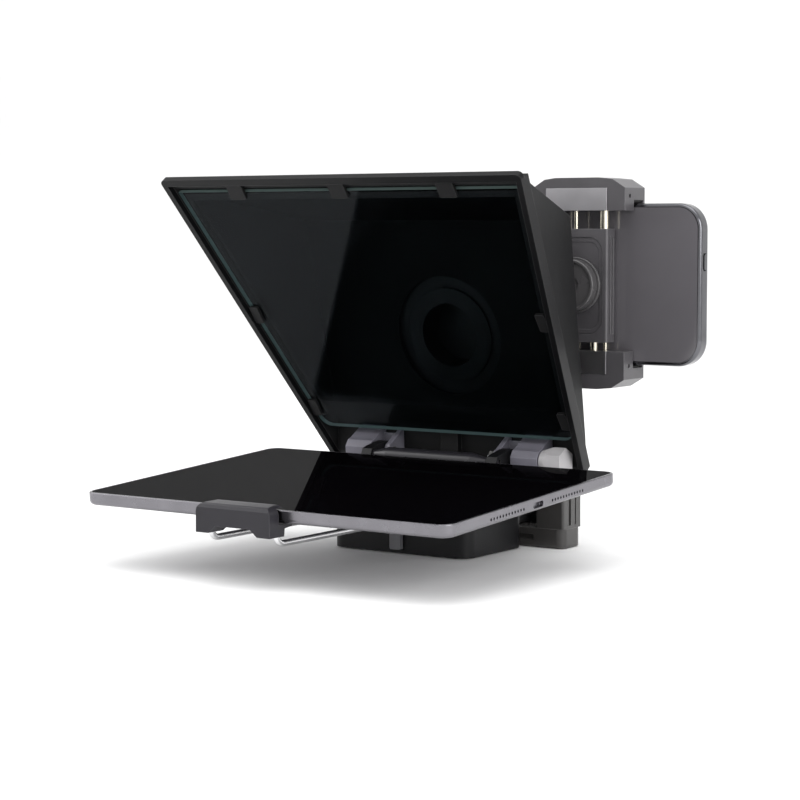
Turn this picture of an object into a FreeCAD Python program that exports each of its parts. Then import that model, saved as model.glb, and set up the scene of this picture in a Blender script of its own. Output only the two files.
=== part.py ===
# Table-top teleprompter for a small tablet and a phone.
# Millimetres. +Z is up, the presenter stands on the -Y side, X is the symmetry direction.
# The origin is the centre of the tripod socket's mouth on the underside of the base.
import FreeCAD
import Part
import os
from FreeCAD import Placement, Rotation, Vector
from math import cos, radians, sin, tan

os.makedirs("parts", exist_ok=True)

# ---- driving dimensions -------------------------------------------------------------

# Base block that carries everything, with the socket in its underside.
BASE_HALF_X = 40.0
BASE_FRONT_Y = -31.0
BASE_REAR_Y = 21.0
BASE_FLOOR_Z = 0.6
BASE_TOP_Z = 30.0
LID_TOP_Z = 34.0
BASE_WALL = 2.5
BASE_CORNER_R = 7.0
SOCKET_R = 3.175
SOCKET_DEPTH = 10.0

# Small tablet, lying with its front edge a little lower.
TABLET_W = 203.2
TABLET_D = 142.5
TABLET_T = 6.1
TABLET_CORNER_R = 6.5
TABLET_PITCH = 3.6
TABLET_X = 6.5
TABLET_REAR_Y = -7.0
TABLET_TOP_Z = 44.5

# Hood: a tapering box whose open front leans towards the presenter.
HINGE_Y = 10.0
HINGE_Z = 45.0
FOOT_Y = 18.4
FOOT_Z = 38.5
FRAME_TILT = 53.85
FRAME_SLANT = 175.6
HALF_BOTTOM = 75.5
HALF_TOP = 102.8
REAR_TOP = (78.0, -0.6, 162.8)
REAR_KNEE = (21.2, 55.8)
REAR_FOOT = (22.0, 38.5)
WALL_T = 2.2
BEZEL_T = 3.0
BEZEL_DEPTH = 6.5
BEZEL_W = 2.4
BEZEL_TOP_S = 171.8
CLIP_IN = 6.4

# Beam-splitter glass just behind the bezel.
GLASS_T = 2.2
GLASS_FOOT_S = 19.0
GLASS_TOP_S = 166.3
GLASS_INSET = 3.5

# Lens opening in the hood's rear wall.
LENS_X = 3.0
LENS_Z = 104.5
LENS_HOLE_R = 30.0
LENS_RING_R = 36.5
LENS_BORE_R = 16.0
LENS_TUBE_R = 19.3
LENS_TUBE_L = 15.0

# Hinge parts on each side, as distances from the middle plane.
CHEEK_IN = 31.0
CHEEK_OUT = 33.6
TOWER_IN = 34.2
TOWER_OUT = 40.0
ARM_IN = 42.0
ARM_OUT = 57.0
PIN_R = 2.0
STOP_Y = -2.7
STOP_Z = 44.3
STOP_R = 3.8

# Sprung wire bracket with the hook that holds the tablet's front edge.
WIRE_R = 1.5
WIRE_X = (-18.3, 18.3)
WIRE_Z = 20.4
WIRE_BEND_R = 5.0
WIRE_REAR_Y = 10.0
WIRE_FRONT_Y = -149.4
HOOK_X = (-20.7, 20.7)
HOOK_CORNER_R = 4.5
HOOK_FRONT_Y = -156.9
HOOK_WALL_Y = -150.3
HOOK_FOOT_Z = 23.8

# Sliding bar, riser and post that carry the phone clamp behind the hood.
BAR_X = (-30.0, 60.0)
BAR_Y = (24.5, 42.0)
BAR_Z = (0.6, 9.8)
RAIL_GUARD_Z = 21.0
SLEEVE_X = (44.0, 60.0)
SLEEVE_TOP_Z = 54.0
POST_X = (46.5, 57.5)
POST_Y = (26.5, 31.5)
POST_Z = (22.0, 138.0)
SWIVEL_X = 62.0
SWIVEL_Z = 129.5

# Phone clamp and phone.
CLAMP_X = (44.5, 78.7)
CLAMP_Y = (33.3, 41.5)
CLAMP_Z = (101.7, 156.7)
JAW_X = (36.5, 88.5)
JAW_Y = (33.0, 52.6)
UPPER_JAW_Z = (165.5, 181.5)
LOWER_JAW_Z = (79.0, 97.5)
PHONE_X = (-27.0, 124.4)
PHONE_Y = (42.7, 50.5)
PHONE_Z = (90.8, 168.9)
PHONE_CORNER_R = 12.5

RUN = 0.05
GAP = 0.4


# ---- helpers ------------------------------------------------------------------------

def save(name, *solids):
    """Write one node, as one solid or as a compound of several."""
    flat = []
    for item in solids:
        flat.extend(item.Solids)
    shape = flat[0] if len(flat) == 1 else Part.makeCompound(flat)
    shape.exportStep("parts/" + name + ".step")


def box(x0, x1, y0, y1, z0, z1):
    """Axis-aligned block between two corners."""
    return Part.makeBox(x1 - x0, y1 - y0, z1 - z0, Vector(x0, y0, z0))


def rod(start, end, r):
    """Round bar between two points."""
    a = Vector(*start)
    way = Vector(*end) - a
    return Part.makeCylinder(r, way.Length, a, way)


def cone(start, end, r0, r1):
    """Truncated cone between two points."""
    a = Vector(*start)
    way = Vector(*end) - a
    return Part.makeCone(r0, r1, way.Length, a, way)


def plate(w, h, r, t):
    """Rounded rectangle centred on the Z axis, t thick from z = 0."""
    x = w / 2.0
    y = h / 2.0
    c = r * (1.0 - sin(radians(45)))
    edges = []
    for sx, sy in ((1, 1), (-1, 1), (-1, -1), (1, -1)):
        first = Vector(sx * x, sy * (y - r), 0)
        last = Vector(sx * (x - r), sy * y, 0)
        middle = Vector(sx * (x - c), sy * (y - c), 0)
        if sx * sy < 0:
            first, last = last, first
        edges.append((first, middle, last))
    lines = []
    for i, (first, middle, last) in enumerate(edges):
        lines.append(Part.Arc(first, middle, last).toShape())
        after = edges[(i + 1) % 4][0]
        if (after - last).Length > 1e-6:
            lines.append(Part.makeLine(last, after))
    wire = Part.Wire(lines)
    return Part.Face(wire).extrude(Vector(0, 0, t))


def prism(points, x0, x1):
    """Polygon given in the YZ plane, extruded from x0 to x1."""
    ring = [Vector(x0, y, z) for y, z in points]
    wire = Part.makePolygon(ring + [ring[0]])
    return Part.Face(wire).extrude(Vector(x1 - x0, 0, 0))


def moved(shape, placement):
    """Copy of a shape after a placement."""
    out = shape.copy()
    out.Placement = placement.multiply(out.Placement)
    return out


def at(x, y, z):
    """Pure translation."""
    return Placement(Vector(x, y, z), Rotation())


def mirror_x(shape):
    """Copy on the other side of the middle plane."""
    return shape.mirror(Vector(0, 0, 0), Vector(1, 0, 0))


def clip(shape, point, normal):
    """Keep what lies behind a plane; the normal points at what is removed."""
    size = 900.0
    cutter = Part.makeBox(size, size, size, Vector(-size / 2, -size / 2, 0))
    turn = Rotation(Vector(0, 0, 1), Vector(*normal))
    cutter.Placement = Placement(Vector(*point), turn)
    return shape.cut(cutter)


def soften(shape, r, wanted):
    """Round the edges that the test picks."""
    edges = [e for e in shape.Edges if wanted(e)]
    return shape.makeFillet(r, edges)


def along(axis):
    """Test for straight edges parallel to a coordinate axis."""
    def test(edge):
        if edge.Curve.TypeId != "Part::GeomLine":
            return False
        way = edge.Curve.Direction
        return abs(abs(way[axis]) - 1.0) < 1e-4
    return test


TO_Y = Rotation(Vector(1, 0, 0), -90)


def plate_y(cx, cz, w, h, r, y0, y1):
    """Rounded rectangle standing in the XZ plane, from y0 to y1."""
    flat = plate(w, h, r, y1 - y0)
    return moved(flat, Placement(Vector(cx, y0, cz), TO_Y))


def socket_screw(start, way, head_r, head_h, shank_r, shank_l):
    """Screw with a round head and a hexagon recess; start is the underside of the head."""
    head = Part.makeCylinder(head_r, head_h, Vector(0, 0, 0), Vector(0, 0, 1))
    shank = Part.makeCylinder(shank_r, shank_l, Vector(0, 0, -shank_l), Vector(0, 0, 1))
    ring = [Vector(head_r * 0.5 * cos(radians(60 * k)), head_r * 0.5 * sin(radians(60 * k)),
                   head_h * 0.45) for k in range(6)]
    hexagon = Part.Face(Part.makePolygon(ring + [ring[0]])).extrude(Vector(0, 0, head_h))
    screw = head.fuse(shank).cut(hexagon)
    return moved(screw, Placement(Vector(*start), Rotation(Vector(0, 0, 1), Vector(*way))))


# ---- base ---------------------------------------------------------------------------

def bed_z(y):
    """Height of the tablet's underside at a given y."""
    under = TABLET_TOP_Z - TABLET_T / cos(radians(TABLET_PITCH))
    return under + (y - TABLET_REAR_Y) * tan(radians(TABLET_PITCH))


def build_base():
    """Housing, lid and its screws, socket insert, pads, hinge towers and rear stop bar."""
    depth = BASE_REAR_Y - BASE_FRONT_Y
    mid_y = (BASE_REAR_Y + BASE_FRONT_Y) / 2.0
    tall = BASE_TOP_Z - BASE_FLOOR_Z
    body = moved(plate(2 * BASE_HALF_X, depth, BASE_CORNER_R, tall), at(0, mid_y, BASE_FLOOR_Z))
    inner_w = 2 * (BASE_HALF_X - BASE_WALL)
    inner = plate(inner_w, depth - 2 * BASE_WALL, BASE_CORNER_R - BASE_WALL, tall)
    body = body.cut(moved(inner, at(0, mid_y, BASE_FLOOR_Z + 3.0)))
    boss = rod((0, 0, BASE_FLOOR_Z), (0, 0, 14.0), 10.0)
    body = body.fuse(boss).cut(rod((0, 0, 0), (0, 0, 13.0), 6.5))
    for x in WIRE_X:
        tube_y = (BASE_FRONT_Y + 0.5, 14.0)
        body = body.fuse(box(x - 4, x + 4, tube_y[0], tube_y[1], BASE_FLOOR_Z + 2.5, WIRE_Z))
        body = body.fuse(rod((x, BASE_FRONT_Y - 1.2, WIRE_Z), (x, 14.0, WIRE_Z), 3.6))
        body = body.cut(rod((x, BASE_FRONT_Y - 2, WIRE_Z), (x, 13.0, WIRE_Z), WIRE_R + RUN))
    body = body.cut(plate_y(0, 6.4, 6.6, 8.6, 1.0, BASE_FRONT_Y - 1, BASE_FRONT_Y + 5))
    pocket = moved(plate(70.0, 42.0, 5.0, 1.0), at(0, mid_y, BASE_FLOOR_Z))
    body = body.cut(pocket)
    posts = []
    for sx in (-1, 1):
        for y in (BASE_FRONT_Y + 6.5, BASE_REAR_Y - 6.5):
            post = rod((sx * 33.0, y, BASE_FLOOR_Z + 2.5), (sx * 33.0, y, BASE_TOP_Z), 3.5)
            posts.append((sx * 33.0, y))
            body = body.fuse(post)
    for x, y in posts:
        body = body.cut(rod((x, y, BASE_TOP_Z - 8), (x, y, BASE_TOP_Z + 1), 1.25))
    save("base_housing", body)

    pad = moved(plate(69.4, 41.4, 4.7, 1.6), at(0, mid_y, 0.0))
    save("base_pad", pad.cut(rod((0, 0, -1), (0, 0, 3), 6.8)))

    insert = rod((0, 0, 0.0), (0, 0, 13.0), 6.5).cut(rod((0, 0, -1), (0, 0, SOCKET_DEPTH), SOCKET_R))
    save("tripod_socket", insert)

    lid = moved(plate(2 * BASE_HALF_X, depth, BASE_CORNER_R, LID_TOP_Z - BASE_TOP_Z),
                at(0, mid_y, BASE_TOP_Z))
    for x, y in posts:
        lid = lid.cut(rod((x, y, BASE_TOP_Z - 1), (x, y, LID_TOP_Z + 1), 1.3))
        lid = lid.cut(rod((x, y, LID_TOP_Z - 2.2), (x, y, LID_TOP_Z + 1), 2.8))
    save("base_lid", lid)
    save("lid_screws", *[socket_screw((x, y, LID_TOP_Z - 2.2), (0, 0, 1), 2.7, 2.0, 1.25, 7.0)
                         for x, y in posts])

    pads = []
    for sx in (-1, 1):
        block = box(sx * 22 - 9, sx * 22 + 9, -27.0, -12.0, LID_TOP_Z, 45.0)
        lean = radians(TABLET_PITCH)
        block = clip(block, (0, -20, bed_z(-20) - GAP), (0, -sin(lean), cos(lean)))
        pads.append(soften(block, 2.0, along(2)))
    save("rest_pads", *pads)

    towers = []
    profile = [(-6.3, LID_TOP_Z), (-6.3, 43.0), (-4.5, 47.0), (-1.0, 48.0), (6.0, 49.4),
               (10.0, 49.8), (13.4, 48.0), (14.4, 45.0), (14.4, LID_TOP_Z)]
    for side in (-1, 1):
        x0, x1 = sorted((side * TOWER_IN, side * TOWER_OUT))
        tower = prism(profile, x0, x1)
        tower = tower.cut(rod((x0 - 1, HINGE_Y, HINGE_Z), (x1 + 1, HINGE_Y, HINGE_Z), PIN_R + RUN))
        bar_hole = rod((x0 - 1, STOP_Y, STOP_Z), (x1 + 1, STOP_Y, STOP_Z), 1.5)
        towers.append((side, tower.cut(bar_hole)))
    for side, tower in towers:
        save("hinge_tower_" + ("left" if side < 0 else "right"), tower)

    bar = rod((-25, STOP_Y, STOP_Z), (25, STOP_Y, STOP_Z), STOP_R)
    for side in (-1, 1):
        tip = cone((side * 25, STOP_Y, STOP_Z), (side * 33.4, STOP_Y, STOP_Z), STOP_R, 1.9)
        bar = bar.fuse(tip)
    save("stop_bar", bar.fuse(rod((-39.0, STOP_Y, STOP_Z), (39.0, STOP_Y, STOP_Z), 1.5)))


def build_rail():
    """Channel behind the base, the sliding bar, its lock knob and the riser sleeve."""
    y0, y1 = BAR_Y
    z0, z1 = BAR_Z
    xr = (-34.0, 30.0)
    rail = box(xr[0], xr[1], BASE_REAR_Y, y1 + 3.4, BASE_FLOOR_Z, z1 + 3.6)
    rail = rail.cut(box(xr[0] - 1, xr[1] + 1, y0 - GAP, y1 + GAP, BASE_FLOOR_Z - 1, z1 + GAP))
    mid = (z0 + z1) / 2.0
    front_rib = box(xr[0], xr[1], y0 - 1.0, y0 + 1.4, mid - 1.0, mid + 1.0)
    rear_rib = box(xr[0], xr[1], y1 - 1.4, y1 + 1.0, mid - 1.0, mid + 1.0)
    guard = box(xr[0], xr[1] + 6.0, y1 + GAP, y1 + 3.4, BASE_FLOOR_Z, RAIL_GUARD_Z)
    rail = rail.fuse(front_rib).fuse(rear_rib).fuse(guard)
    lock = (-2.0, (y0 + y1) / 2.0)
    rail = rail.cut(rod((lock[0], lock[1], z1), (lock[0], lock[1], z1 + 5), 2.0 + RUN))
    rail = soften(rail, 2.0, lambda e: along(2)(e) and e.CenterOfMass.y > y1 + 3.0)
    save("slide_rail", rail)

    screw_top = z1 + 3.6
    knob = rod((lock[0], lock[1], screw_top + 0.6), (lock[0], lock[1], screw_top + 10.0), 8.5)
    knob = knob.fuse(rod((lock[0], lock[1], z1 + 0.5), (lock[0], lock[1], screw_top + 9.0), 2.0))
    for k in range(10):
        a = radians(36 * k)
        x = lock[0] + 9.6 * cos(a)
        y = lock[1] + 9.6 * sin(a)
        knob = knob.cut(rod((x, y, screw_top), (x, y, screw_top + 11), 2.0))
    save("slide_lock_knob", knob)

    bar = box(BAR_X[0], BAR_X[1], y0, y1, z0, z1)
    bar = soften(bar, 4.0, lambda e: along(2)(e) and e.CenterOfMass.x > 0)
    for y in (y0, y1):
        edge = 1.8
        ya, yb = (y - 1, y + edge) if y == y0 else (y - edge, y + 1)
        bar = bar.cut(box(BAR_X[0] - 1, SLEEVE_X[0] - 1.0, ya, yb, mid - 1.4, mid + 1.4))
    save("slide_bar", bar)

    sleeve = box(SLEEVE_X[0], SLEEVE_X[1], y0, y1, z1, SLEEVE_TOP_Z)
    sleeve = soften(sleeve, 1.2, along(2))
    bore = box(POST_X[0] - 0.35, POST_X[1] + 0.35, POST_Y[0] - 0.35, POST_Y[1] + 0.35, 14.0, 60.0)
    sleeve = sleeve.cut(bore)
    slot_x = SLEEVE_X[1]
    sleeve = sleeve.cut(box(slot_x - 1.2, slot_x + 1, y0 + 5.0, y0 + 7.5, z1 + 1.5, SLEEVE_TOP_Z - 4))
    sleeve = sleeve.cut(box(slot_x - 0.8, slot_x + 1, y0 + 11.0, y0 + 12.4, z1 + 1.5, SLEEVE_TOP_Z - 4))
    screw_x = (POST_X[0] + POST_X[1]) / 2.0
    screw_z = 34.0
    sleeve = sleeve.cut(rod((screw_x, POST_Y[1], screw_z), (screw_x, y1 + 1, screw_z), 2.0 + RUN))
    save("riser_sleeve", sleeve)
    knob = rod((screw_x, y1 + 0.6, screw_z), (screw_x, y1 + 9.0, screw_z), 7.0)
    knob = knob.fuse(rod((screw_x, POST_Y[1] + 0.5, screw_z), (screw_x, y1 + 8.0, screw_z), 2.0))
    for k in range(8):
        a = radians(45 * k)
        x = screw_x + 8.0 * cos(a)
        z = screw_z + 8.0 * sin(a)
        knob = knob.cut(rod((x, y1, z), (x, y1 + 10, z), 1.8))
    save("riser_lock_knob", knob)


def build_bracket():
    """Bent wires, the hook they carry and the front release tab."""
    wires = []
    for x in WIRE_X:
        bend_y = WIRE_FRONT_Y + WIRE_BEND_R
        line = Part.makeLine(Vector(x, WIRE_REAR_Y, WIRE_Z), Vector(x, bend_y, WIRE_Z))
        mid = Vector(x, bend_y - WIRE_BEND_R * sin(radians(45)),
                     WIRE_Z + WIRE_BEND_R * (1 - cos(radians(45))))
        arc_end = Vector(x, WIRE_FRONT_Y, WIRE_Z + WIRE_BEND_R)
        arc = Part.Arc(Vector(x, bend_y, WIRE_Z), mid, arc_end).toShape()
        rise = Part.makeLine(arc_end, Vector(x, WIRE_FRONT_Y, HOOK_FOOT_Z + 3.7))
        path = Part.Wire([line, arc, rise])
        ring = Part.Wire(Part.makeCircle(WIRE_R, Vector(x, WIRE_REAR_Y, WIRE_Z), Vector(0, -1, 0)))
        wires.append(path.makePipeShell([ring], True, False))
    save("wire_bracket", *wires)

    front = HOOK_FRONT_Y
    under = bed_z(HOOK_WALL_Y + 1.6)
    top = under + TABLET_T
    outline = [(front, HOOK_FOOT_Z), (front, top - 0.5), (front + 0.9, top + 0.8),
               (front + 2.6, top + 1.4), (front + 10.6, top + 2.0), (front + 10.6, top + 0.8),
               (HOOK_WALL_Y, top + 0.5), (HOOK_WALL_Y, under - 0.5), (-141.0, under - 0.1),
               (-141.0, under - 1.6), (front + 10.8, under - 2.2), (front + 10.4, HOOK_FOOT_Z)]
    hook = prism(outline, *HOOK_X)
    blank = plate_y(0, top - 18.2, HOOK_X[1] - HOOK_X[0], 40.0, HOOK_CORNER_R, -170.0, -120.0)
    hook = hook.common(blank)
    notch = [(-13.7, HOOK_FOOT_Z - 1), (-13.7, HOOK_FOOT_Z), (-9.7, HOOK_FOOT_Z + 3.3),
             (9.7, HOOK_FOOT_Z + 3.3), (13.7, HOOK_FOOT_Z), (13.7, HOOK_FOOT_Z - 1)]
    corners = [Vector(x, front - 1, z) for x, z in notch]
    face = Part.Face(Part.makePolygon(corners + corners[:1]))
    hook = hook.cut(face.extrude(Vector(0, 40, 0)))
    hook = hook.cut(box(-9.7, 9.7, HOOK_WALL_Y + 1.6, -130.0, HOOK_FOOT_Z, under + 1.0))
    for wire in wires:
        hook = hook.cut(wire)
    save("tablet_hook", hook)

    tab = plate_y(0, 6.4, 6.0, 8.0, 0.8, BASE_FRONT_Y - 2.6, BASE_FRONT_Y + 2.0)
    save("release_tab", tab)


# ---- tablet -------------------------------------------------------------------------

def tablet_place():
    """Placement of the tablet's own frame: centred in x, rear edge at y = 0, top at z = 0."""
    return Placement(Vector(TABLET_X, TABLET_REAR_Y, TABLET_TOP_Z),
                     Rotation(Vector(1, 0, 0), TABLET_PITCH))


def build_tablet():
    """Shell, front glass, battery block and the edge buttons."""
    put = tablet_place()
    mid = -TABLET_D / 2.0

    def slab(w, d, r, z0, z1):
        return moved(plate(w, d, r, z1 - z0), at(0, mid, z0))

    shell = slab(TABLET_W, TABLET_D, TABLET_CORNER_R, -TABLET_T, 0.0)
    rim = [e for e in shell.Edges if e.BoundBox.ZLength < 0.01 and e.CenterOfMass.z < -3]
    shell = shell.makeFillet(2.4, rim)
    rim = [e for e in shell.Edges if e.BoundBox.ZLength < 0.01 and e.CenterOfMass.z > -0.01]
    shell = shell.makeFillet(0.5, rim)
    shell = shell.cut(slab(TABLET_W - 2.6, TABLET_D - 2.6, 5.2, -0.9, 1.0))
    shell = shell.cut(slab(TABLET_W - 9.0, TABLET_D - 9.0, 3.0, -4.9, 0.0))
    edge = TABLET_W / 2.0
    shell = shell.cut(moved(plate(8.6, 2.6, 1.25, 3.0),
                            Placement(Vector(edge - 2.0, mid, -3.3),
                                      Rotation(Vector(0, 0, 1), 90).multiply(
                                          Rotation(Vector(1, 0, 0), 90)))))
    for side in (-1, 1):
        for k in range(12):
            y = mid + side * (12.0 + 2.4 * k)
            shell = shell.cut(rod((edge - 1.2, y, -3.3), (edge + 1, y, -3.3), 0.65))
    for y0, y1 in ((-19.0, -9.6), (-45.0, -25.6)):
        shell = shell.cut(box(-edge - 1, -edge + 1.6, y0 - 0.1, y1 + 0.1, -4.3, -2.1))
    save("tablet_shell", moved(shell, put))
    save("tablet_glass", moved(slab(TABLET_W - 2.7, TABLET_D - 2.7, 5.1, -0.85, 0.0), put))
    save("tablet_battery", moved(slab(150.0, 114.0, 3.0, -4.9, -1.0), put))
    power = box(-edge - 0.35, -edge + 1.0, -19.0, -9.6, -4.2, -2.2)
    save("tablet_power_button", moved(power, put))
    rocker = box(-edge - 0.35, -edge + 1.0, -45.0, -25.6, -4.2, -2.2)
    save("tablet_volume_rocker", moved(rocker, put))


# ---- hood ---------------------------------------------------------------------------

LEAN = radians(FRAME_TILT)
FRAME_UP = (0.0, -cos(LEAN), sin(LEAN))
FRAME_OUT = (0.0, -sin(LEAN), -cos(LEAN))
FRAME_PUT = Placement(Vector(0, FOOT_Y, FOOT_Z), Rotation(Vector(1, 0, 0), 180 - FRAME_TILT))
SPREAD = (HALF_TOP - HALF_BOTTOM) / FRAME_SLANT


def frame_point(x, s, depth):
    """Point at x, s up the frame's slant and a depth behind its front plane."""
    return Vector(x, FOOT_Y + s * FRAME_UP[1] - depth * FRAME_OUT[1],
                  FOOT_Z + s * FRAME_UP[2] - depth * FRAME_OUT[2])


def hood_planes():
    """Outer planes of the hood as point and outward normal: right, left, top, rear, rear foot."""
    foot = frame_point(HALF_BOTTOM, 0, 0)
    top = frame_point(HALF_TOP, FRAME_SLANT, 0)
    rear = Vector(*REAR_TOP)
    side = (top - foot).cross(rear - foot)
    if side.x < 0:
        side = side.multiply(-1)
    side.normalize()
    roof = Vector(0, REAR_TOP[2] - top.z, top.y - REAR_TOP[1]).normalize()
    if roof.z < 0:
        roof = roof.multiply(-1)
    down = Vector(0, REAR_KNEE[0] - REAR_TOP[1], REAR_KNEE[1] - REAR_TOP[2])
    back = Vector(0, -down.z, down.y).normalize()
    low = Vector(0, REAR_FOOT[0] - REAR_KNEE[0], REAR_FOOT[1] - REAR_KNEE[1])
    heel = Vector(0, -low.z, low.y).normalize()
    return {
        "right": (foot, side),
        "left": (Vector(-foot.x, foot.y, foot.z), Vector(-side.x, side.y, side.z)),
        "top": (rear, roof),
        "rear": (rear, back),
        "heel": (Vector(0, *REAR_KNEE), heel),
    }


def hood_block(inset, depth, floor_z):
    """Solid bounded by the hood's planes moved inwards, from a depth behind the front plane."""
    shape = box(-150, 150, -150, 60, floor_z, 220)
    for point, normal in hood_planes().values():
        shape = clip(shape, point - normal * inset, normal)
    return clip(shape, frame_point(0, 0, depth), FRAME_OUT)


def rear_put(x, z, lift):
    """Placement on the rear wall's outer face: local Z points out of the wall."""
    point, normal = hood_planes()["rear"]
    y = point.y - (z - point.z) * normal.z / normal.y
    spot = Vector(x, y, z) + normal * lift
    return Placement(spot, Rotation(Vector(0, 0, 1), normal))


def build_hood():
    """Walls, bezel, glass, its backing and clips, lens rings and the hinge arms."""
    planes = hood_planes()
    shell = hood_block(0.0, BEZEL_T, FOOT_Z).cut(hood_block(WALL_T, -50.0, FOOT_Z - 5))

    def beyond(shape, name):
        point, normal = planes[name]
        return clip(shape, point - normal * WALL_T, normal * -1)

    def within(shape, name):
        point, normal = planes[name]
        return clip(shape, point - normal * WALL_T, normal)

    save("hood_right_wall", beyond(shell, "right"))
    save("hood_left_wall", beyond(shell, "left"))
    core = within(within(shell, "right"), "left")
    save("hood_top_wall", beyond(core, "top"))
    rear = within(core, "top")
    hole = Part.makeCylinder(LENS_HOLE_R, 20, Vector(0, 0, -10))
    rear = rear.cut(moved(hole, rear_put(LENS_X, LENS_Z, 0)))
    lug = box(-6.0, 4.0, 15.5, 24.0, 41.0, 56.0)
    lug = clip(lug, planes["heel"][0] - planes["heel"][1] * 1.0, planes["heel"][1])
    rear = rear.fuse(clip(lug, planes["rear"][0] - planes["rear"][1] * 1.0, planes["rear"][1]))
    for side in (-1, 1):
        for x in (46.0, 53.0):
            y = REAR_FOOT[0]
            rear = rear.cut(rod((side * x, y - 8, 49.0), (side * x, y + 8, 49.0), 1.5))
    save("hood_rear_wall", rear)

    def half_at(s):
        return HALF_BOTTOM + SPREAD * s

    def pane(s0, s1, inset, d0, d1):
        corners = [(-half_at(s0) + inset, s0), (half_at(s0) - inset, s0),
                   (half_at(s1) - inset, s1), (-half_at(s1) + inset, s1)]
        pts = [frame_point(x, s, d1) for x, s in corners]
        face = Part.Face(Part.makePolygon(pts + [pts[0]]))
        return face.extrude(Vector(*FRAME_OUT) * (d1 - d0))

    rim = pane(0.0, FRAME_SLANT, 0.0, 0.0, BEZEL_DEPTH)
    corners = [e for e in rim.Edges if abs(e.Length - BEZEL_DEPTH) < 0.1 and e.CenterOfMass.z > 100]
    rim = rim.makeFillet(2.5, corners)
    rim = rim.cut(pane(-20.0, BEZEL_TOP_S, BEZEL_W + 0.6, -5.0, BEZEL_DEPTH + 5.0))
    rim = rim.cut(pane(BEZEL_TOP_S, FRAME_SLANT + 5.0, -5.0, BEZEL_T, BEZEL_DEPTH + 1.0))
    save("hood_bezel", rim.cut(hood_block(0.0, BEZEL_T, FOOT_Z - 5)))

    d0 = BEZEL_T
    d1 = BEZEL_T + GLASS_T
    glass = pane(GLASS_FOOT_S, GLASS_TOP_S, GLASS_INSET + 0.6, d0, d1)
    lean_edges = [e for e in glass.Edges
                  if e.Length < GLASS_T + 0.1 and e.CenterOfMass.z < frame_point(0, 40, d0).z]
    glass = glass.makeFillet(6.0, lean_edges)
    save("beam_splitter_glass", glass)
    gasket = pane(GLASS_FOOT_S + 6, GLASS_TOP_S - 2.4, GLASS_INSET + 1.4, d1, d1 + 2.0)
    gasket = gasket.cut(pane(GLASS_FOOT_S - 6, GLASS_TOP_S - 6, GLASS_INSET + 5.0, d1 - 1, d1 + 5))
    save("glass_gasket", gasket)

    clips = []
    for x in (-60.0, 0.0, 60.0):
        clips.append(moved(plate(9.0, 8.8, 0.8, 1.6),
                           FRAME_PUT.multiply(at(x, BEZEL_TOP_S - 4.6, -BEZEL_T))))
    for side in (-1, 1):
        for s in (32.0, 92.0):
            x = side * (half_at(s) - CLIP_IN)
            clips.append(moved(plate(5.0, 10.0, 0.8, 1.6), FRAME_PUT.multiply(at(x, s, -BEZEL_T))))
    save("glass_clips", *clips)

    flange = Part.makeCylinder(LENS_RING_R, 2.2).cut(Part.makeCylinder(24.0, 9, Vector(0, 0, -2)))
    for k in range(4):
        a = radians(45 + 90 * k)
        hole = Part.makeCylinder(1.1, 9, Vector(33.2 * cos(a), 33.2 * sin(a), -2))
        flange = flange.cut(hole)
    save("lens_ring", moved(flange, rear_put(LENS_X, LENS_Z, 0.0)))
    collar = Part.makeCylinder(24.0, 3.4, Vector(0, 0, -1.2))
    collar = collar.fuse(Part.makeCylinder(LENS_TUBE_R, LENS_TUBE_L))
    collar = collar.cut(Part.makeCylinder(LENS_BORE_R, 20, Vector(0, 0, -8)))
    save("lens_insert", moved(collar, rear_put(LENS_X, LENS_Z, 0.0)))
    screws = []
    for k in range(4):
        a = radians(45 + 90 * k)
        spot = Vector(33.2 * cos(a), 33.2 * sin(a), 2.2)
        screw = socket_screw(spot, (0, 0, 1), 2.0, 1.3, 1.1, 2.2)
        screws.append(moved(screw, rear_put(LENS_X, LENS_Z, 0.0)))
    save("lens_ring_screws", *screws)

    profile = [(8.0, 40.2), (4.6, 42.6), (4.2, 46.4), (6.4, 49.6), (9.0, 50.6), (20.5, 57.6),
               (21.0, 52.0), (21.0, 45.0), (18.5, 42.0), (12.0, 40.2)]
    inner = [(8.0, 40.6), (5.6, 43.0), (5.4, 46.0), (6.6, 48.4), (9.0, 49.6), (20.5, 56.8),
             (21.0, 51.0), (21.0, 46.0), (17.0, 42.0), (12.0, 40.6)]
    heel_point = planes["heel"][0] - planes["heel"][1] * WALL_T
    rear_point = planes["rear"][0] - planes["rear"][1] * WALL_T
    for side in (-1, 1):
        arm = prism(profile, ARM_IN, ARM_OUT).fuse(prism(inner, CHEEK_IN, CHEEK_OUT))
        arm = arm.fuse(box(CHEEK_IN, ARM_OUT, 17.2, 21.5, 44.0, 53.0))
        arm = clip(clip(arm, heel_point, planes["heel"][1]), rear_point, planes["rear"][1])
        bore = PIN_R if side < 0 else PIN_R + RUN
        arm = arm.cut(rod((20, HINGE_Y, HINGE_Z), (70, HINGE_Y, HINGE_Z), bore))
        for x in (46.0, 53.0):
            arm = arm.cut(rod((x, 15.0, 49.0), (x, 30, 49.0), 1.5))
        if side < 0:
            arm = mirror_x(arm)
        save("hinge_arm_" + ("left" if side < 0 else "right"), arm)
    save("hinge_screws", *[
        socket_screw((side * x, REAR_FOOT[0] - 0.35, 49.0), (0, 1, 0), 2.8, 1.3, 1.5, 6.6)
        for side in (-1, 1) for x in (46.0, 53.0)])
    save("hinge_pin", rod((-ARM_OUT - 0.4, HINGE_Y, HINGE_Z), (-CHEEK_IN + 0.6, HINGE_Y, HINGE_Z), PIN_R))

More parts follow.
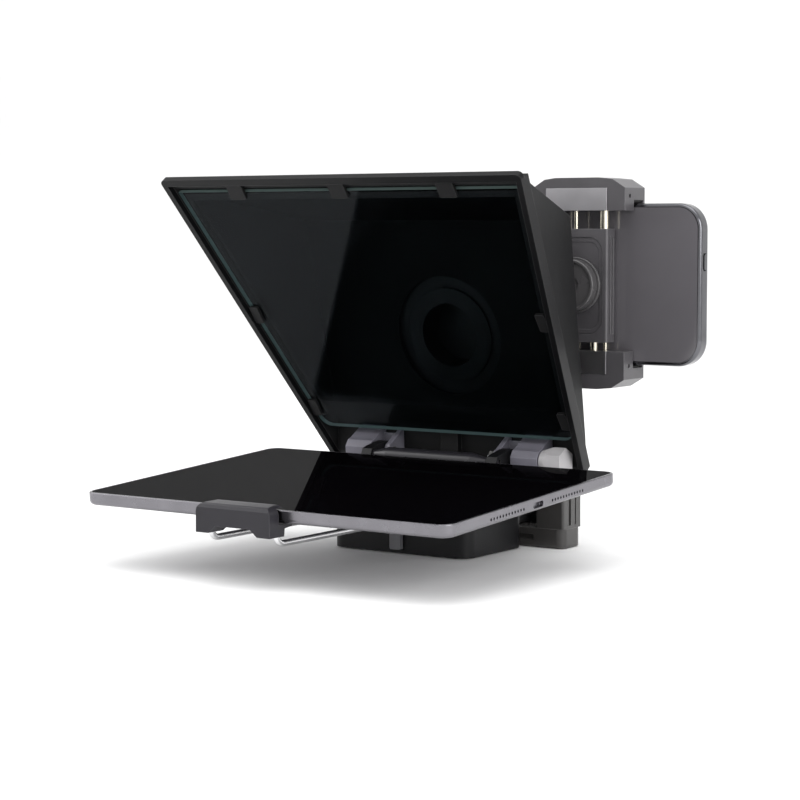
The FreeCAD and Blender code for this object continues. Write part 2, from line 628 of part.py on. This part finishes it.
    nut_ring = [Vector(CHEEK_IN - 3.2, HINGE_Y + 3.9 * cos(radians(60 * k)),
                       HINGE_Z + 3.9 * sin(radians(60 * k))) for k in range(6)]
    nut = Part.Face(Part.makePolygon(nut_ring + [nut_ring[0]])).extrude(Vector(3.2, 0, 0))
    nut = nut.cut(rod((20, HINGE_Y, HINGE_Z), (40, HINGE_Y, HINGE_Z), PIN_R + RUN))
    save("tilt_nut", nut)
    save("tilt_bolt", rod((CHEEK_IN - 4.4, HINGE_Y, HINGE_Z), (ARM_OUT + 9.0, HINGE_Y, HINGE_Z), PIN_R))
    knob_r = 7.0
    near = ARM_OUT + 0.5
    ring = [Vector(near, HINGE_Y + knob_r * cos(radians(60 * k + 30)),
                   HINGE_Z + knob_r * sin(radians(60 * k + 30))) for k in range(6)]
    knob = Part.Face(Part.makePolygon(ring + [ring[0]])).extrude(Vector(12.5, 0, 0))
    taper = cone((near, HINGE_Y, HINGE_Z), (near + 12.5, HINGE_Y, HINGE_Z), 5.2, 9.0)
    knob = knob.common(taper)
    knob = knob.cut(rod((near - 1, HINGE_Y, HINGE_Z), (ARM_OUT + 9.0, HINGE_Y, HINGE_Z), PIN_R))
    save("tilt_lock_knob", knob)


# ---- post, clamp and phone ----------------------------------------------------------

def build_post():
    """Height post, and the round swivel disc with its pin at the top."""
    post = box(POST_X[0], POST_X[1], POST_Y[0], POST_Y[1], POST_Z[0], POST_Z[1])
    post = soften(post, 1.0, along(2))
    head = rod((SWIVEL_X, POST_Y[0], SWIVEL_Z), (SWIVEL_X, POST_Y[1], SWIVEL_Z), 12.6)
    head = soften(head, 0.8, lambda e: e.Curve.TypeId == "Part::GeomCircle")
    head = head.cut(rod((SWIVEL_X, 0, SWIVEL_Z), (SWIVEL_X, POST_Y[0] + 0.8, SWIVEL_Z), 11.2))
    post = post.fuse(head)
    post = post.cut(rod((SWIVEL_X, POST_Y[0] - 1, SWIVEL_Z), (SWIVEL_X, POST_Y[1] + 1, SWIVEL_Z), 4.0))
    save("riser_post", post)
    disc = rod((SWIVEL_X, POST_Y[1], SWIVEL_Z), (SWIVEL_X, CLAMP_Y[0] - 0.05, SWIVEL_Z), 13.5)
    disc = soften(disc, 0.5, lambda e: e.Curve.TypeId == "Part::GeomCircle")
    pin = rod((SWIVEL_X, POST_Y[0] + 1.6, SWIVEL_Z), (SWIVEL_X, CLAMP_Y[1] - 2.6, SWIVEL_Z), 4.0)
    collar = rod((SWIVEL_X, CLAMP_Y[1] - 2.6, SWIVEL_Z), (SWIVEL_X, CLAMP_Y[1] - 1.2, SWIVEL_Z), 6.5)
    save("swivel_disc", disc.fuse(pin).fuse(collar))


def build_clamp():
    """Clamp body, recessed face, back pad, guide rods and the two jaws."""
    cx = (CLAMP_X[0] + CLAMP_X[1]) / 2.0
    cz = (CLAMP_Z[0] + CLAMP_Z[1]) / 2.0
    w = CLAMP_X[1] - CLAMP_X[0]
    h = CLAMP_Z[1] - CLAMP_Z[0]
    y0, y1 = CLAMP_Y
    body = box(CLAMP_X[0], CLAMP_X[1], y0, y1, CLAMP_Z[0], CLAMP_Z[1])
    body = soften(body, 1.2, along(2))
    body = body.cut(plate_y(cx, cz, w - 5.0, h - 8.0, 7.5, y0 - 1, y0 + 1.2))
    for x0, x1 in ((CLAMP_X[0] - 1, CLAMP_X[0] + 1.2), (CLAMP_X[1] - 1.2, CLAMP_X[1] + 1)):
        for y in (y0 + 2.6, y0 + 5.0):
            body = body.cut(box(x0, x1, y, y + 1.0, CLAMP_Z[0] + 4, CLAMP_Z[1] - 4))
    pin_r = 4.0 + RUN
    body = body.cut(rod((SWIVEL_X, y0 - 1, SWIVEL_Z), (SWIVEL_X, y1 + 1, SWIVEL_Z), pin_r))
    body = body.cut(rod((SWIVEL_X, y1 - 3.0, SWIVEL_Z), (SWIVEL_X, y1 + 1, SWIVEL_Z), 7.0))
    upper_rods = [(cx + 13.4, 2.3), (cx - 2.5, 1.0), (cx - 13.4, 2.3)]
    lower_rods = [(cx + 8.0, 2.0), (cx + 14.2, 0.9), (cx - 8.0, 2.0)]
    rod_y = y0 + 4.1
    for x, r in upper_rods:
        body = body.cut(rod((x, rod_y, CLAMP_Z[1] - 19.5), (x, rod_y, CLAMP_Z[1] + 1), r + RUN))
    for x, r in lower_rods:
        body = body.cut(rod((x, rod_y, CLAMP_Z[0] - 1), (x, rod_y, CLAMP_Z[0] + 19.5), r + RUN))
    save("clamp_body", body)
    face = plate_y(cx, cz, w - 5.4, h - 8.4, 7.3, y0 + 0.5, y0 + 1.2)
    face = face.cut(plate_y(cx, cz, w - 9.0, h - 12.5, 5.8, y0 + 0.3, y0 + 0.8))
    save("clamp_face", face.cut(rod((SWIVEL_X, y0 - 1, SWIVEL_Z), (SWIVEL_X, y1, SWIVEL_Z), pin_r + 0.3)))
    back = plate_y(cx, cz, w - 3.0, h - 4.0, 3.0, y1, y1 + 0.8)
    save("clamp_back_pad", back)

    for name, span, sign in (("upper", UPPER_JAW_Z, 1), ("lower", LOWER_JAW_Z, -1)):
        z0, z1 = span
        root = z0 if sign > 0 else z1
        tip = z1 if sign > 0 else z0
        jy0, jy1 = JAW_Y
        seat = PHONE_Z[1] + GAP if sign > 0 else PHONE_Z[0] - GAP
        arch = [Vector(JAW_X[0], jy0, root), Vector(JAW_X[1], jy0, root),
                Vector(JAW_X[1], jy0, tip - sign * 5.0), Vector(JAW_X[1] - 7.0, jy0, tip - sign * 0.8),
                Vector(cx + 12.0, jy0, tip), Vector(cx - 12.0, jy0, tip),
                Vector(JAW_X[0] + 7.0, jy0, tip - sign * 0.8), Vector(JAW_X[0], jy0, tip - sign * 5.0)]
        jaw = Part.Face(Part.makePolygon(arch + [arch[0]])).extrude(Vector(0, jy1 - jy0, 0))
        py0 = PHONE_Y[0] - 0.9
        py1 = PHONE_Y[1] + 0.6
        rods_at = upper_rods if sign > 0 else lower_rods
        za, zb = sorted((root - sign * 1.0, seat + sign * 1.2))
        jaw = jaw.cut(box(JAW_X[0] - 1, JAW_X[1] + 1, py0, py1, za, zb))
        za, zb = sorted((root - sign * 1.0, seat - sign * 2.4))
        jaw = jaw.cut(box(JAW_X[0] - 1, JAW_X[1] + 1, py1 - 1, jy1 + 1, za, zb))
        for x in (JAW_X[0], JAW_X[1]):
            eye = rod((x - 2.0, jy0 + 5.0, root + sign * 7), (x + 2.0, jy0 + 5.0, root + sign * 7), 1.1)
            jaw = jaw.cut(eye)
        for x, r in rods_at:
            za, zb = sorted((root, root + sign * 9.0))
            jaw = jaw.cut(rod((x, rod_y, za - 0.001), (x, rod_y, zb), r))
        pocket = sorted((root - sign * 0.1, root + sign * 11.0))
        jaw = jaw.cut(box(CLAMP_X[0], CLAMP_X[1], jy0 - 1, jy0 + 0.8, pocket[0], pocket[1]))
        save("jaw_" + name, jaw)
        pocket = sorted((root, root + sign * 10.9))
        save("jaw_plate_" + name,
             box(CLAMP_X[0] + 0.1, CLAMP_X[1] - 0.1, jy0 - 0.4, jy0 + 0.8, pocket[0], pocket[1]))
        za, zb = sorted((seat + sign * 0.2, seat + sign * 1.2))
        save("jaw_pad_" + name, box(JAW_X[0] + 1, JAW_X[1] - 1, py0 + 0.4, py1 - 0.4, za, zb))
        body_end = CLAMP_Z[1] if sign > 0 else CLAMP_Z[0]
        rods = []
        for x, r in rods_at:
            rods.append(rod((x, rod_y, body_end - sign * 17.5), (x, rod_y, root + sign * 9.0), r))
        save("guide_rods_" + name, *rods)


def build_phone():
    """Frame, glass, camera and buttons of the phone."""
    cx = (PHONE_X[0] + PHONE_X[1]) / 2.0
    cz = (PHONE_Z[0] + PHONE_Z[1]) / 2.0
    w = PHONE_X[1] - PHONE_X[0]
    h = PHONE_Z[1] - PHONE_Z[0]
    y0, y1 = PHONE_Y
    r = PHONE_CORNER_R
    frame = plate_y(cx, cz, w, h, r, y0, y1)
    rims = [e for e in frame.Edges if e.BoundBox.YLength < 0.01]
    frame = frame.makeFillet(1.6, rims)
    frame = frame.cut(plate_y(cx, cz, w - 3.6, h - 3.6, r - 1.8, y0 - 1, y0 + 0.8))
    frame = frame.cut(plate_y(cx, cz, w - 3.6, h - 3.6, r - 1.8, y1 - 0.8, y1 + 1))
    top_z = PHONE_Z[1]
    frame = frame.cut(box(PHONE_X[1] - 1.4, PHONE_X[1] + 1, y0 + 2.5, y1 - 2.5, cz + 6.8, cz + 15.2))
    frame = frame.cut(box(-10.1, 12.1, y0 + 2.5, y1 - 2.5, top_z - 1.8, top_z + 1))
    save("phone_frame", frame)
    bump_x = LENS_X
    bump_z = LENS_Z
    back = plate_y(cx, cz, w - 3.8, h - 3.8, r - 1.9, y0 + 0.05, y0 + 0.8)
    back = back.cut(plate_y(bump_x, bump_z, 22.0, 22.0, 6.0, y0 - 1, y1))
    save("phone_back_glass", back)
    save("phone_screen_glass", plate_y(cx, cz, w - 3.8, h - 3.8, r - 1.9, y1 - 0.8, y1 - 0.05))
    bump = plate_y(bump_x, bump_z, 21.8, 21.8, 5.9, y0 - 1.4, y0 + 0.8)
    spots = ((bump_x - 4.8, bump_z), (bump_x + 4.8, bump_z + 4.8))
    for x, z in spots:
        bump = bump.cut(rod((x, y0 - 2, z), (x, y0 + 0.2, z), 3.6))
    save("phone_camera_bump", bump)
    save("phone_lenses", *[rod((x, y0 - 1.2, z), (x, y0 + 0.2, z), 3.55) for x, z in spots])
    side = plate(7.6, 2.0, 0.9, 1.15)
    turn = Rotation(Vector(0, 1, 0), 90)
    side = moved(side, Placement(Vector(PHONE_X[1] - 0.7, (y0 + y1) / 2.0, cz + 11.0), turn))
    save("phone_side_button", side)
    keys = [box(x, x + 9.6, y0 + 2.9, y1 - 2.9, top_z - 1.0, top_z + 0.35) for x in (-9.8, 2.2)]
    save("phone_volume_keys", *keys)


build_base()
build_rail()
build_bracket()
build_tablet()
build_hood()
build_post()
build_clamp()
build_phone()
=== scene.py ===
# Teleprompter: materials, floor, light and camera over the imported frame. Metres.
from math import cos, radians, sin

import bmesh
import bpy
from mathutils import Matrix, Vector

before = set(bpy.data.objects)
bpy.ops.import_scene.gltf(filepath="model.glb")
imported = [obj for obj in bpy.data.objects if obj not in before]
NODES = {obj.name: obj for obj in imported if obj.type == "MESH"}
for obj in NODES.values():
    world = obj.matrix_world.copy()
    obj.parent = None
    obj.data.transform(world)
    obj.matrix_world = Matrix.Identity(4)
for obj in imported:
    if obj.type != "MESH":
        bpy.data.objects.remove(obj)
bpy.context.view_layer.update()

# Lean of the glass pane, whose flat faces look this far from straight down towards the presenter.
PANE_LEAN = radians(53.85)
PANE_EDGE = 0.6

# Painted edge highlight: how far the softened normal has turned where the painted highlight starts and
# where it is full.
EDGE_HIGHLIGHT_START = 0.99
EDGE_HIGHLIGHT_FULL = 0.80
GRAIN_HEIGHT = 0.0004
SCRATCH_GRAIN = 400.0

# Floor that sweeps up behind the object, as y and z in metres, and half its width.
FLOOR_PATH = [(-3.0, 0.0), (1.6, 0.0), (1.95, 0.08), (2.25, 0.35), (2.35, 0.8), (2.35, 3.5)]
FLOOR_HALF_X = 5.0

# Lamps: place, target, size in metres and power in watts.
LAMPS = [((0.2, -0.3, 1.5), (0.0, 0.0, 0.0), 1.4, 12.0),
         ((1.3, -0.5, 0.5), (0.1, 0.0, 0.1), 0.8, 9.0),
         ((-1.2, -0.7, 0.8), (0.0, 0.0, 0.1), 0.9, 6.0)]
WORLD_STRENGTH = 1.1

# Camera at the viewer's place: front right, a little above.
VIEW_PLACE = (0.60465, -0.89423, 0.15933)
VIEW_TURN = radians(34.94)
VIEW_DIP = radians(4.59)
VIEW_ROLL = radians(-0.10)
VIEW_LENS = 98.79
SENSOR_WIDTH = 36.0


# ---- node materials -----------------------------------------------------------------

def material(name, base, rough, metal=0.0, grain=900.0, bump=0.04, vary=0.12, bevel=0.0004,
             patch=60.0, specular=0.5, edge_highlight=0.0):
    """Principled surface with fine grain, slow colour change, softened edges and a painted highlight
    that lightens the edges.
    """
    mat = bpy.data.materials.new(name)
    mat.use_nodes = True
    nodes = mat.node_tree.nodes
    links = mat.node_tree.links
    shader = nodes["Principled BSDF"]
    shader.inputs["Metallic"].default_value = metal
    shader.inputs["Specular IOR Level"].default_value = specular
    coords = nodes.new("ShaderNodeTexCoord")
    slow = nodes.new("ShaderNodeTexNoise")
    slow.inputs["Scale"].default_value = patch
    slow.inputs["Detail"].default_value = 4.0
    links.new(coords.outputs["Object"], slow.inputs["Vector"])
    fine = nodes.new("ShaderNodeTexNoise")
    fine.inputs["Scale"].default_value = grain
    fine.inputs["Detail"].default_value = 6.0
    links.new(coords.outputs["Object"], fine.inputs["Vector"])
    ramp = nodes.new("ShaderNodeValToRGB")
    ramp.color_ramp.elements[0].position = 0.3
    ramp.color_ramp.elements[1].position = 0.7
    ramp.color_ramp.elements[0].color = [c * (1 - vary) for c in base] + [1]
    ramp.color_ramp.elements[1].color = [min(1.0, c * (1 + vary)) for c in base] + [1]
    links.new(slow.outputs["Fac"], ramp.inputs["Fac"])
    soft = nodes.new("ShaderNodeBevel")
    soft.samples = 4
    soft.inputs["Radius"].default_value = bevel
    geometry = nodes.new("ShaderNodeNewGeometry")
    # Painted highlight: where the softened normal turns away at the edges, the base colour is lightened
    # as if light caught the edges there.
    facing = nodes.new("ShaderNodeVectorMath")
    facing.operation = "DOT_PRODUCT"
    links.new(soft.outputs["Normal"], facing.inputs[0])
    links.new(geometry.outputs["Normal"], facing.inputs[1])
    edge = nodes.new("ShaderNodeMapRange")
    edge.inputs["From Min"].default_value = EDGE_HIGHLIGHT_START
    edge.inputs["From Max"].default_value = EDGE_HIGHLIGHT_FULL
    edge.inputs["To Min"].default_value = 0.0
    edge.inputs["To Max"].default_value = edge_highlight
    links.new(facing.outputs["Value"], edge.inputs["Value"])
    painted_highlight = nodes.new("ShaderNodeMix")
    painted_highlight.data_type = "RGBA"
    painted_highlight.inputs["B"].default_value = [min(1.0, c * 2.2 + 0.05) for c in base] + [1]
    links.new(edge.outputs["Result"], painted_highlight.inputs["Factor"])
    links.new(ramp.outputs["Color"], painted_highlight.inputs["A"])
    links.new(painted_highlight.outputs["Result"], shader.inputs["Base Color"])
    gloss = nodes.new("ShaderNodeMapRange")
    gloss.inputs["To Min"].default_value = max(0.02, rough - 0.05)
    gloss.inputs["To Max"].default_value = min(1.0, rough + 0.07)
    links.new(slow.outputs["Fac"], gloss.inputs["Value"])
    links.new(gloss.outputs["Result"], shader.inputs["Roughness"])
    rise = nodes.new("ShaderNodeBump")
    rise.inputs["Strength"].default_value = bump
    rise.inputs["Distance"].default_value = GRAIN_HEIGHT
    links.new(fine.outputs["Fac"], rise.inputs["Height"])
    links.new(soft.outputs["Normal"], rise.inputs["Normal"])
    links.new(rise.outputs["Normal"], shader.inputs["Normal"])
    return mat


def brushed(name, base, rough, stretch, bevel=0.0003):
    """Metal with fine scratches drawn out along one axis."""
    mat = material(name, base, rough, metal=1.0, grain=SCRATCH_GRAIN, bump=0.03, bevel=bevel, vary=0.08)
    nodes = mat.node_tree.nodes
    links = mat.node_tree.links
    noises = [n for n in nodes if n.type == "TEX_NOISE"]
    fine = [n for n in noises if n.inputs["Scale"].default_value == SCRATCH_GRAIN][0]
    coords = [n for n in nodes if n.type == "TEX_COORD"][0]
    draw = nodes.new("ShaderNodeMapping")
    draw.inputs["Scale"].default_value = stretch
    links.new(coords.outputs["Object"], draw.inputs["Vector"])
    links.new(draw.outputs["Vector"], fine.inputs["Vector"])
    return mat


def splitter(name, mirror, tint):
    """Thin coated glass: a part-mirror mixed with clear tinted transmission."""
    mat = bpy.data.materials.new(name)
    mat.use_nodes = True
    nodes = mat.node_tree.nodes
    links = mat.node_tree.links
    nodes.remove(nodes["Principled BSDF"])
    clear = nodes.new("ShaderNodeBsdfTransparent")
    gloss = nodes.new("ShaderNodeBsdfGlossy")
    gloss.inputs["Roughness"].default_value = 0.015
    mix = nodes.new("ShaderNodeMixShader")
    coords = nodes.new("ShaderNodeTexCoord")
    haze = nodes.new("ShaderNodeTexNoise")
    haze.inputs["Scale"].default_value = 18.0
    haze.inputs["Detail"].default_value = 5.0
    links.new(coords.outputs["Object"], haze.inputs["Vector"])
    share = nodes.new("ShaderNodeMapRange")
    share.inputs["To Min"].default_value = mirror * 0.93
    share.inputs["To Max"].default_value = mirror * 1.07
    links.new(haze.outputs["Fac"], share.inputs["Value"])
    tone = nodes.new("ShaderNodeValToRGB")
    tone.color_ramp.elements[0].color = [c * 0.96 for c in tint] + [1]
    tone.color_ramp.elements[1].color = list(tint) + [1]
    links.new(haze.outputs["Fac"], tone.inputs["Fac"])
    links.new(tone.outputs["Color"], clear.inputs["Color"])
    gloss.inputs["Color"].default_value = (0.86, 0.9, 0.95, 1)
    links.new(share.outputs["Result"], mix.inputs["Fac"])
    links.new(clear.outputs["BSDF"], mix.inputs[1])
    links.new(gloss.outputs["BSDF"], mix.inputs[2])
    flat = nodes.new("ShaderNodeVectorMath")
    flat.operation = "DOT_PRODUCT"
    flat.inputs[1].default_value = (0.0, -sin(PANE_LEAN), -cos(PANE_LEAN))
    links.new(coords.outputs["Normal"], flat.inputs[0])
    size = nodes.new("ShaderNodeMath")
    size.operation = "ABSOLUTE"
    links.new(flat.outputs["Value"], size.inputs[0])
    is_edge = nodes.new("ShaderNodeMath")
    is_edge.operation = "LESS_THAN"
    is_edge.inputs[1].default_value = PANE_EDGE
    links.new(size.outputs["Value"], is_edge.inputs[0])
    edge = nodes.new("ShaderNodeBsdfDiffuse")
    edge.inputs["Color"].default_value = (0.16, 0.22, 0.21, 1)
    both = nodes.new("ShaderNodeMixShader")
    links.new(is_edge.outputs["Value"], both.inputs["Fac"])
    links.new(mix.outputs["Shader"], both.inputs[1])
    links.new(edge.outputs["BSDF"], both.inputs[2])
    links.new(both.outputs["Shader"], nodes["Material Output"].inputs["Surface"])
    return mat


def display(name, base, mirror, rough):
    """Dark glass over black: a deep body colour with a weak clear reflection and faint smears."""
    mat = bpy.data.materials.new(name)
    mat.use_nodes = True
    nodes = mat.node_tree.nodes
    links = mat.node_tree.links
    nodes.remove(nodes["Principled BSDF"])
    body = nodes.new("ShaderNodeBsdfDiffuse")
    gloss = nodes.new("ShaderNodeBsdfGlossy")
    mix = nodes.new("ShaderNodeMixShader")
    coords = nodes.new("ShaderNodeTexCoord")
    smear = nodes.new("ShaderNodeTexNoise")
    smear.inputs["Scale"].default_value = 26.0
    smear.inputs["Detail"].default_value = 6.0
    links.new(coords.outputs["Object"], smear.inputs["Vector"])
    tone = nodes.new("ShaderNodeValToRGB")
    tone.color_ramp.elements[0].color = [c * 0.85 for c in base] + [1]
    tone.color_ramp.elements[1].color = [c * 1.15 for c in base] + [1]
    links.new(smear.outputs["Fac"], tone.inputs["Fac"])
    links.new(tone.outputs["Color"], body.inputs["Color"])
    polish = nodes.new("ShaderNodeMapRange")
    polish.inputs["To Min"].default_value = rough * 0.7
    polish.inputs["To Max"].default_value = rough * 1.3
    links.new(smear.outputs["Fac"], polish.inputs["Value"])
    links.new(polish.outputs["Result"], gloss.inputs["Roughness"])
    rim = nodes.new("ShaderNodeFresnel")
    rim.inputs["IOR"].default_value = 1.12
    share = nodes.new("ShaderNodeMapRange")
    share.inputs["To Min"].default_value = mirror
    share.inputs["To Max"].default_value = mirror * 1.8
    links.new(rim.outputs["Fac"], share.inputs["Value"])
    links.new(share.outputs["Result"], mix.inputs["Fac"])
    links.new(body.outputs["BSDF"], mix.inputs[1])
    links.new(gloss.outputs["BSDF"], mix.inputs[2])
    links.new(mix.outputs["Shader"], nodes["Material Output"].inputs["Surface"])
    return mat


# The edge strength given on several of these lines sets a painted highlight that lightens the edges in
# the base colour.
HOOD = material("hood_plastic", (0.006, 0.006, 0.0065), 0.6, grain=1400, bump=0.05, edge_highlight=0.9,
                specular=0.2)
RIM = material("rim_plastic", (0.004, 0.004, 0.0045), 0.36, grain=1200, bump=0.05, edge_highlight=1.0,
               specular=0.15)
BLACK = material("base_plastic", (0.006, 0.006, 0.007), 0.42, grain=1200, bump=0.08, edge_highlight=0.5,
                 specular=0.25)
BAR = material("stop_bar_plastic", (0.018, 0.017, 0.021), 0.3, grain=1000, bump=0.04, edge_highlight=1.0)
GREY = material("hinge_plastic", (0.16, 0.155, 0.185), 0.34, grain=1200, bump=0.06, edge_highlight=0.7)
KNOB = material("knob_plastic", (0.42, 0.41, 0.42), 0.34, grain=1200, bump=0.05, edge_highlight=0.4)
HOOK = material("hook_plastic", (0.018, 0.017, 0.021), 0.36, grain=1000, bump=0.06, edge_highlight=1.0,
                specular=0.25)
CLAMP = material("clamp_plastic", (0.066, 0.063, 0.068), 0.32, grain=1000, bump=0.07, edge_highlight=1.0)
PLATE = brushed("clamp_plate", (0.46, 0.45, 0.47), 0.36, (1.0, 1.0, 14.0))
DISC = material("disc_plastic", (0.06, 0.058, 0.06), 0.26, grain=1000, bump=0.04, edge_highlight=1.0)
RING = material("ring_plastic", (0.003, 0.003, 0.003), 0.4, grain=1000, bump=0.04, edge_highlight=0.3)
TAB = material("tab_plastic", (0.14, 0.14, 0.15), 0.4, grain=1000, bump=0.05, edge_highlight=0.4)
RUBBER = material("rubber", (0.014, 0.014, 0.014), 0.75, grain=700, bump=0.2)
SILVER = brushed("tablet_silver", (0.19, 0.185, 0.20), 0.26, (1.0, 10.0, 1.0))
FRAME = brushed("phone_silver", (0.13, 0.13, 0.14), 0.12, (10.0, 1.0, 1.0))
BACK = display("phone_back", (0.095, 0.09, 0.098), 0.07, 0.12)
PANEL = display("tablet_panel", (0.0012, 0.0010, 0.0014), 0.035, 0.03)
LENS = display("lens_glass", (0.004, 0.005, 0.010), 0.2, 0.03)
CHROME = brushed("wire_chrome", (0.75, 0.75, 0.76), 0.12, (1.0, 0.1, 1.0))
STEEL = brushed("steel", (0.5, 0.5, 0.51), 0.28, (1.0, 1.0, 8.0))
RODS = brushed("rods", (0.66, 0.62, 0.52), 0.2, (6.0, 6.0, 1.0))
BRASS = brushed("brass", (0.72, 0.52, 0.22), 0.3, (1.0, 1.0, 8.0))
BRACKET = material("bracket_black", (0.04, 0.038, 0.037), 0.24, grain=900, bump=0.05, edge_highlight=1.0)
GLASS = splitter("splitter", 0.011, (0.54, 0.58, 0.60))

LOOK = {
    HOOD: "hood_right_wall hood_left_wall hood_top_wall hood_rear_wall glass_clips",
    RIM: "hood_bezel",
    BLACK: "base_housing base_lid hinge_tower_left hinge_tower_right slide_rail "
           "slide_lock_knob riser_lock_knob",
    BAR: "stop_bar",
    GREY: "hinge_arm_left hinge_arm_right",
    TAB: "release_tab",
    KNOB: "tilt_lock_knob",
    HOOK: "tablet_hook",
    CLAMP: "clamp_body jaw_upper jaw_lower clamp_face",
    PLATE: "jaw_plate_upper jaw_plate_lower",
    DISC: "swivel_disc riser_post",
    RING: "lens_ring lens_insert",
    RUBBER: "base_pad rest_pads jaw_pad_upper jaw_pad_lower clamp_back_pad glass_gasket",
    SILVER: "tablet_shell tablet_power_button tablet_volume_rocker",
    FRAME: "phone_frame phone_side_button phone_volume_keys",
    BACK: "phone_back_glass phone_camera_bump",
    PANEL: "tablet_glass phone_screen_glass tablet_battery",
    LENS: "phone_lenses",
    CHROME: "wire_bracket",
    STEEL: "lid_screws lens_ring_screws hinge_screws tilt_bolt",
    RODS: "guide_rods_upper guide_rods_lower",
    BRASS: "tripod_socket",
    BRACKET: "slide_bar riser_sleeve hinge_pin tilt_nut",
    GLASS: "beam_splitter_glass",
}
for mat, names in LOOK.items():
    for name in names.split():
        slots = NODES[name].data.materials
        slots.clear()
        slots.append(mat)


# ---- floor, light and camera --------------------------------------------------------

def add_mesh(name, bm, mat):
    """Mesh object from a bmesh, with one material."""
    mesh = bpy.data.meshes.new(name)
    bm.to_mesh(mesh)
    bm.free()
    mesh.materials.append(mat)
    obj = bpy.data.objects.new(name, mesh)
    bpy.context.scene.collection.objects.link(obj)
    return obj


def build_floor():
    """Pale floor that sweeps up into a backdrop."""
    bm = bmesh.new()
    rows = []
    for y, z in FLOOR_PATH:
        rows.append([bm.verts.new((x, y, z)) for x in (-FLOOR_HALF_X, FLOOR_HALF_X)])
    for low, high in zip(rows, rows[1:]):
        bm.faces.new((low[0], low[1], high[1], high[0]))
    pale = material("floor", (0.90, 0.90, 0.90), 0.75, grain=80, bump=0.01, vary=0.01, bevel=0.0)
    floor = add_mesh("floor", bm, pale)
    for face in floor.data.polygons:
        face.use_smooth = True


def build_light():
    """Soft studio light: bright surroundings, a large top lamp and two side lamps."""
    world = bpy.data.worlds.new("studio")
    world.use_nodes = True
    world.node_tree.nodes["Background"].inputs["Color"].default_value = (1.0, 1.0, 1.0, 1)
    world.node_tree.nodes["Background"].inputs["Strength"].default_value = WORLD_STRENGTH
    bpy.context.scene.world = world
    for k, (place, target, size, power) in enumerate(LAMPS):
        lamp = bpy.data.lights.new("panel_%d" % k, "AREA")
        lamp.size = size
        lamp.energy = power
        obj = bpy.data.objects.new("panel_%d" % k, lamp)
        way = Vector(target) - Vector(place)
        obj.rotation_euler = way.to_track_quat("-Z", "Y").to_euler()
        obj.location = place
        bpy.context.scene.collection.objects.link(obj)


def build_camera():
    """Camera that looks along the turned and dipped direction, rolled about it."""
    ahead = Vector((-sin(VIEW_TURN) * cos(VIEW_DIP), cos(VIEW_TURN) * cos(VIEW_DIP), -sin(VIEW_DIP)))
    level = Vector((cos(VIEW_TURN), sin(VIEW_TURN), 0))
    upright = level.cross(ahead)
    right = level * cos(VIEW_ROLL) + upright * sin(VIEW_ROLL)
    up = upright * cos(VIEW_ROLL) - level * sin(VIEW_ROLL)
    data = bpy.data.cameras.new("view")
    data.lens = VIEW_LENS
    data.sensor_width = SENSOR_WIDTH
    data.clip_end = 20.0
    camera = bpy.data.objects.new("view", data)
    rows = Matrix((right, up, -ahead)).transposed().to_4x4()
    camera.matrix_world = Matrix.Translation(VIEW_PLACE) @ rows
    bpy.context.scene.collection.objects.link(camera)
    bpy.context.scene.camera = camera


build_floor()
build_light()
build_camera()
bpy.context.scene.view_settings.view_transform = "Standard"
